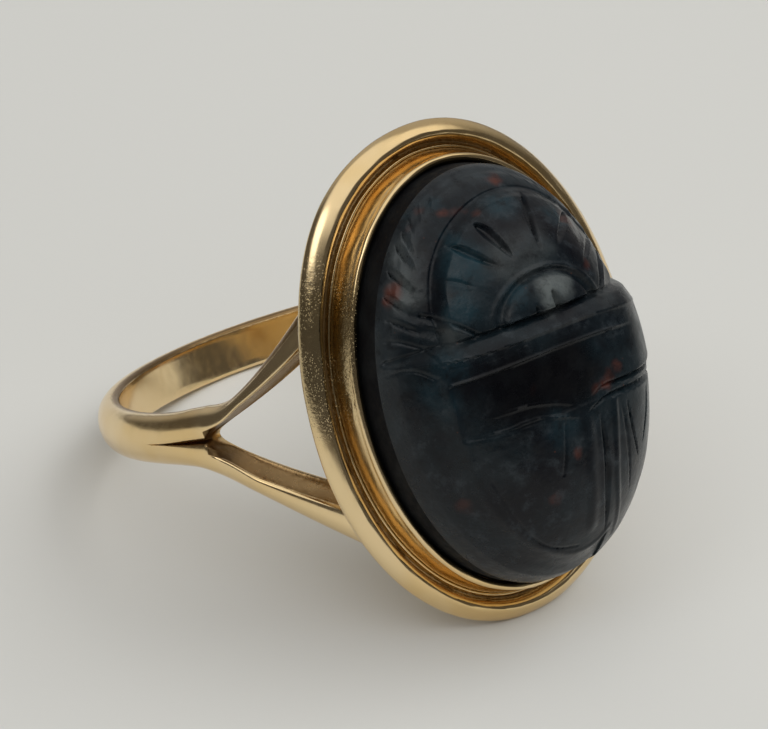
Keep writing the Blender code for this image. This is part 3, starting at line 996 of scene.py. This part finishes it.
TEAL_PATCHES = (
    ((-2.18, 4.76), 1.30, 1.0),
    ((-2.60, 3.60), 1.20, 0.4),
    ((-2.02, 5.60), 0.60, 0.8),
    ((-1.72, 6.86), 0.60, 0.6),
    ((0.28, 6.20), 0.95, 0.8),
    ((2.21, 5.19), 0.80, 0.7),
    ((-1.01, 3.29), 0.60, 0.8),
    ((-2.77, 6.60), 0.60, 0.7),
    ((-2.90, 3.30), 0.80, 0.8),
    ((-3.63, 1.58), 0.90, 0.6),
    ((1.12, 0.71), 0.80, 0.5),
    ((-0.82, -1.50), 1.10, 0.4),
    ((-4.07, 0.60), 1.00, 0.5),
)
# Painted shade: near-black patches over the middle of the beetle's back, where it faces away from the light
PAINTED_SHADE_PATCHES = (
    ((-1.90, 0.30), 2.00, 0.85),
    ((0.30, 0.20), 1.80, 0.85),
    ((-0.90, 0.35), 1.60, 0.60),
)
# Painted highlights: grey patches where the polish catches the light, on the head's top, the clypeus, the
# forelegs and the right flank
PAINTED_HIGHLIGHT_PATCHES = (
    ((0.36, 3.01), 0.95, 1.0),
    ((0.30, 3.15), 0.80, 1.0),
    ((0.95, 3.05), 0.60, 0.7),
    ((-0.70, 4.50), 1.30, 0.32),
    ((0.60, 4.80), 1.10, 0.28),
    ((-3.90, 4.32), 1.10, 0.62),
    ((-3.45, 5.40), 1.10, 0.55),
    ((2.60, 2.10), 0.90, 0.30),
    ((4.10, 0.40), 1.40, 0.45),
    ((3.80, -2.80), 2.20, 0.45),
    ((-3.44, 2.62), 0.80, 0.30),
)


def stone_point(across, along):
    """Where a place on the stone's plan is on the finished ring."""
    out = min(math.hypot(across / (STONE_WIDTH / 2), along / (STONE_LENGTH / 2)), 1.0)
    level = PLATE_TO_FINGER + PLATE_THICKNESS + SEAT_GAP + STONE_WALL + BACK_HEIGHT * (1 - out**BACK_FULLNESS)
    return placement.to_part((across, -level + 0.2, along))


# The stone's tones, from its ground colours to its specks and its patches
JASPER_DARK = (0.0022, 0.0026, 0.0050)
JASPER_BLUE = (0.0075, 0.0135, 0.0175)
JASPER_CLOUD = (0.010, 0.017, 0.021)
# Painted shade for the middle of the back
JASPER_PAINTED_SHADE = (0.0008, 0.0008, 0.0016)
# Painted light along the stone's edge and right flank
EDGE_PAINTED_LIGHT = (0.030, 0.036, 0.040)
FINE_PALE = (0.036, 0.046, 0.054)
FINE_DARK = (0.0015, 0.0018, 0.003)
SPECK_BLACK = (0.003, 0.003, 0.003)
FLECK_RED = (0.10, 0.035, 0.020)
PATCH_COLOURS = (
    # The grey is painted highlight
    (PAINTED_HIGHLIGHT_PATCHES, (0.105, 0.120, 0.120)),
    (TEAL_PATCHES, (0.010, 0.032, 0.044)),
    (RED_PATCHES, (0.100, 0.027, 0.016)),
)


def bloodstone_material():
    """Bloodstone: near-black blue-green jasper with rust-red spots and a waxy polish, painted grey as
    highlights, lighter along its edge as painted light, and darker as painted shade in the middle of its
    back.
    """
    material, nodes = new_material("bloodstone")
    shaken = nodes.shaken(900, 0.9 * MM)
    mottle = nodes.noise(330, 5, 0.6)
    fine = nodes.noise(1500, 5, 0.7)
    base = nodes.mix(nodes.between(mottle, 0.35, 0.68), JASPER_DARK, JASPER_BLUE)
    base = nodes.mix(nodes.between(nodes.noise(120, 4, 0.5), 0.48, 0.72, 0, 0.6), base, JASPER_CLOUD)
    # Painted light along the edge and right flank, stored on the mesh
    edge = nodes.math("MULTIPLY", nodes.attribute("painted_edge_light"), nodes.between(mottle, 0.30, 0.60, 0.35, 0.75))
    base = nodes.mix(edge, base, EDGE_PAINTED_LIGHT)
    for patches, colour in PATCH_COLOURS:
        for place, radius, strength in patches:
            away = nodes.distance_to(stone_point(*place), shaken)
            patch = nodes.between(away, radius * MM, 0.25 * radius * MM, 0, strength)
            patch = nodes.math("MULTIPLY", patch, nodes.between(mottle, 0.30, 0.60, 0.35, 1.0))
            base = nodes.mix(patch, base, colour)
    base = nodes.mix(nodes.between(fine, 0.50, 0.72, 0, 0.50), base, FINE_PALE)
    base = nodes.mix(nodes.between(fine, 0.50, 0.30, 0, 0.60), base, FINE_DARK)
    # Painted shade over the middle of the back
    for place, radius, strength in PAINTED_SHADE_PATCHES:
        away = nodes.distance_to(stone_point(*place), shaken)
        patch = nodes.between(away, radius * MM, 0.35 * radius * MM, 0, strength)
        base = nodes.mix(patch, base, JASPER_PAINTED_SHADE)
    speck = nodes.between(nodes.cells(4200, shaken), 0.16, 0.06, 0, 0.8)
    speck = nodes.math("MULTIPLY", speck, nodes.between(nodes.noise(900, 2), 0.50, 0.60))
    base = nodes.mix(speck, base, SPECK_BLACK)
    fleck = nodes.between(nodes.cells(2400), 0.11, 0.04, 0, 0.5)
    fleck = nodes.math("MULTIPLY", fleck, nodes.between(nodes.noise(700, 2), 0.58, 0.66))
    nodes.set("Base Color", nodes.mix(fleck, base, FLECK_RED))
    nodes.set("Specular IOR Level", 0.23)
    nodes.set("Roughness", nodes.between(nodes.noise(1400, 4), 0.3, 0.75, 0.24, 0.40))
    scratch = nodes.noise(2400, 3, 0.5, vector=nodes.stretch((1, 0.16, 0.16), (0.2, 0.5, 0.3)))
    grain = nodes.bump(nodes.noise(5200, 3), 0.000009, 0.8)
    soft = nodes.bump(nodes.noise(800, 4), 0.00007, 0.7, grain)
    nodes.set("Normal", nodes.bump(scratch, 0.00001, 0.6, soft))
    return material


def shaded_side_stone_material():
    """The stone's flat side: a darker, duller copy of the stone, painted as the shade on that wall."""
    material, nodes = new_material("bloodstone_side_painted_shade")
    tone = nodes.between(nodes.noise(900, 4), 0.35, 0.7)
    # Painted shade: near-black grey, with a dimmer and duller polish than the stone's top
    nodes.set("Base Color", nodes.mix(tone, (0.004, 0.004, 0.005), (0.010, 0.011, 0.012)))
    nodes.set("Specular IOR Level", 0.12)
    nodes.set("Roughness", nodes.between(nodes.noise(3000, 3), 0.3, 0.7, 0.55, 0.75))
    nodes.set("Normal", nodes.bump(nodes.noise(6000, 3), 0.00001, 0.5))
    return material


def paper_material():
    """Pale matt paper, a little uneven in tone."""
    material, nodes = new_material("paper")
    tone = nodes.between(nodes.noise(9, 3), 0.3, 0.7)
    nodes.set("Base Color", nodes.mix(tone, (0.695, 0.70, 0.675), (0.715, 0.72, 0.695)))
    nodes.set("Roughness", 0.9)
    nodes.set("Specular IOR Level", 0.0)
    nodes.set("Normal", nodes.bump(nodes.noise(1800, 3), 0.00002, 0.2))
    return material


def card_material():
    """Dull dark card."""
    material, nodes = new_material("dark_card")
    tone = nodes.between(nodes.noise(30, 3), 0.3, 0.7)
    nodes.set("Base Color", nodes.mix(tone, (0.10, 0.095, 0.085), (0.15, 0.14, 0.13)))
    nodes.set("Roughness", 0.8)
    return material


# Surroundings, in metres

FLOOR_RADIUS = 2.5
CARD_INNER = 0.100
CARD_OUTER = 0.60
CARD_HEIGHT = 0.0003


def circle(radius, height):
    """Points around the ring, level with each other."""
    turns = [2 * math.pi * side / ROUND_SIDES for side in range(ROUND_SIDES)]
    return [(radius * math.cos(turn), radius * math.sin(turn), height) for turn in turns]


def make_floor():
    """A wide flat sheet of pale paper."""
    data = bpy.data.meshes.new("floor")
    data.from_pydata(circle(FLOOR_RADIUS, 0), [], [range(ROUND_SIDES)])
    data.materials.append(paper_material())
    floor = bpy.data.objects.new("floor", data)
    bpy.context.collection.objects.link(floor)


def direction(azimuth, elevation):
    """Unit vector out from the ring, by the camera's kind of angles."""
    a, e = math.radians(azimuth), math.radians(elevation)
    return Vector((math.sin(a) * math.cos(e), -math.cos(a) * math.cos(e), math.sin(e)))


def add_softbox(name, azimuth, elevation, distance, size, power, colour):
    """A square area light that faces the ring from a direction, like the camera's angles."""
    away = direction(azimuth, elevation)
    light = bpy.data.lights.new(name, "AREA")
    light.shape = "RECTANGLE"
    light.size, light.size_y = size
    light.energy = power
    light.color = colour
    lamp = bpy.data.objects.new(name, light)
    lamp.location = away * distance
    lamp.rotation_euler = away.to_track_quat("Z", "Y").to_euler()
    lamp.visible_glossy = False
    bpy.context.collection.objects.link(lamp)


def make_lights():
    """Two broad soft lights, hidden from reflections, which show the room instead."""
    add_softbox("key", 62, 44, 0.60, (0.45, 0.45), 1.50, (1.0, 0.99, 0.97))
    add_softbox("fill", -15, 48, 0.60, (0.50, 0.50), 0.76, (1.0, 0.98, 0.97))


def make_dark_card():
    """Dark surroundings of the paper, which only the polished surfaces see."""
    points = circle(CARD_INNER, CARD_HEIGHT) + circle(CARD_OUTER, CARD_HEIGHT)
    after = [(side + 1) % ROUND_SIDES for side in range(ROUND_SIDES)]
    faces = [(i, after[i], ROUND_SIDES + after[i], ROUND_SIDES + i) for i in range(ROUND_SIDES)]
    data = bpy.data.meshes.new("dark_card")
    data.from_pydata(points, [], faces)
    data.materials.append(card_material())
    card = bpy.data.objects.new("dark_card", data)
    card.visible_camera = False
    card.visible_diffuse = False
    card.visible_shadow = False
    bpy.context.collection.objects.link(card)


# The room's bright parts: azimuth, elevation, how far each reaches in degrees, and brightness
BRIGHT_PARTS = (
    (-20, 86, 26, 44, 0.80),
    (-82, 50, 8, 19, 1.90),
    (88, 60, 12, 26, 0.90),
    (150, 36, 24, 58, 0.33),
)

# The room's dark and bright tones, and what the camera sees past the paper
ROOM_DARK = (0.085, 0.080, 0.075)
ROOM_PALE = (1.0, 0.99, 0.97)
BACKDROP = (0.62, 0.62, 0.60)


def make_world():
    """A room that is bright overhead and through one window, and dark near the horizon."""
    world = bpy.data.worlds.new("room")
    bpy.context.scene.world = world
    world.use_nodes = True
    nodes = Nodes(world.node_tree, "Background", "Generated")
    brightness = 0.0
    for azimuth, elevation, inner, outer, level in BRIGHT_PARTS:
        middle = direction(azimuth, elevation)
        facing = nodes.vector_math("DOT_PRODUCT", nodes.coordinates, middle, output="Value")
        dark, bright = math.cos(math.radians(outer)), math.cos(math.radians(inner))
        brightness = nodes.math("MAXIMUM", brightness, nodes.between(facing, dark, bright, 0, level))
    room = nodes.vector_math("MULTIPLY_ADD", brightness, ROOM_PALE, ROOM_DARK)
    seen_straight = nodes.add("LightPath").outputs["Is Camera Ray"]
    nodes.set("Color", nodes.mix(seen_straight, room, BACKDROP))


def make_camera():
    """The photo's view."""
    back = direction(CAMERA_AZIMUTH, CAMERA_ELEVATION)
    camera = bpy.data.objects.new("camera", bpy.data.cameras.new("camera"))
    camera.data.sensor_width = 36
    camera.data.lens = CAMERA_LENS
    camera.data.clip_start = 0.005
    camera.location = Vector(CAMERA_TARGET) + back * CAMERA_DISTANCE
    level = back.to_track_quat("Z", "Y").to_matrix()
    camera.rotation_euler = (level @ Matrix.Rotation(math.radians(CAMERA_ROLL), 3, "Z")).to_euler()
    bpy.context.collection.objects.link(camera)
    bpy.context.scene.camera = camera


placement = Placement()
bpy.context.scene.view_settings.view_transform = "Standard"
make_camera()
make_world()
make_lights()
make_floor()
make_dark_card()
make_shank()
make_bezel()
make_scarab()
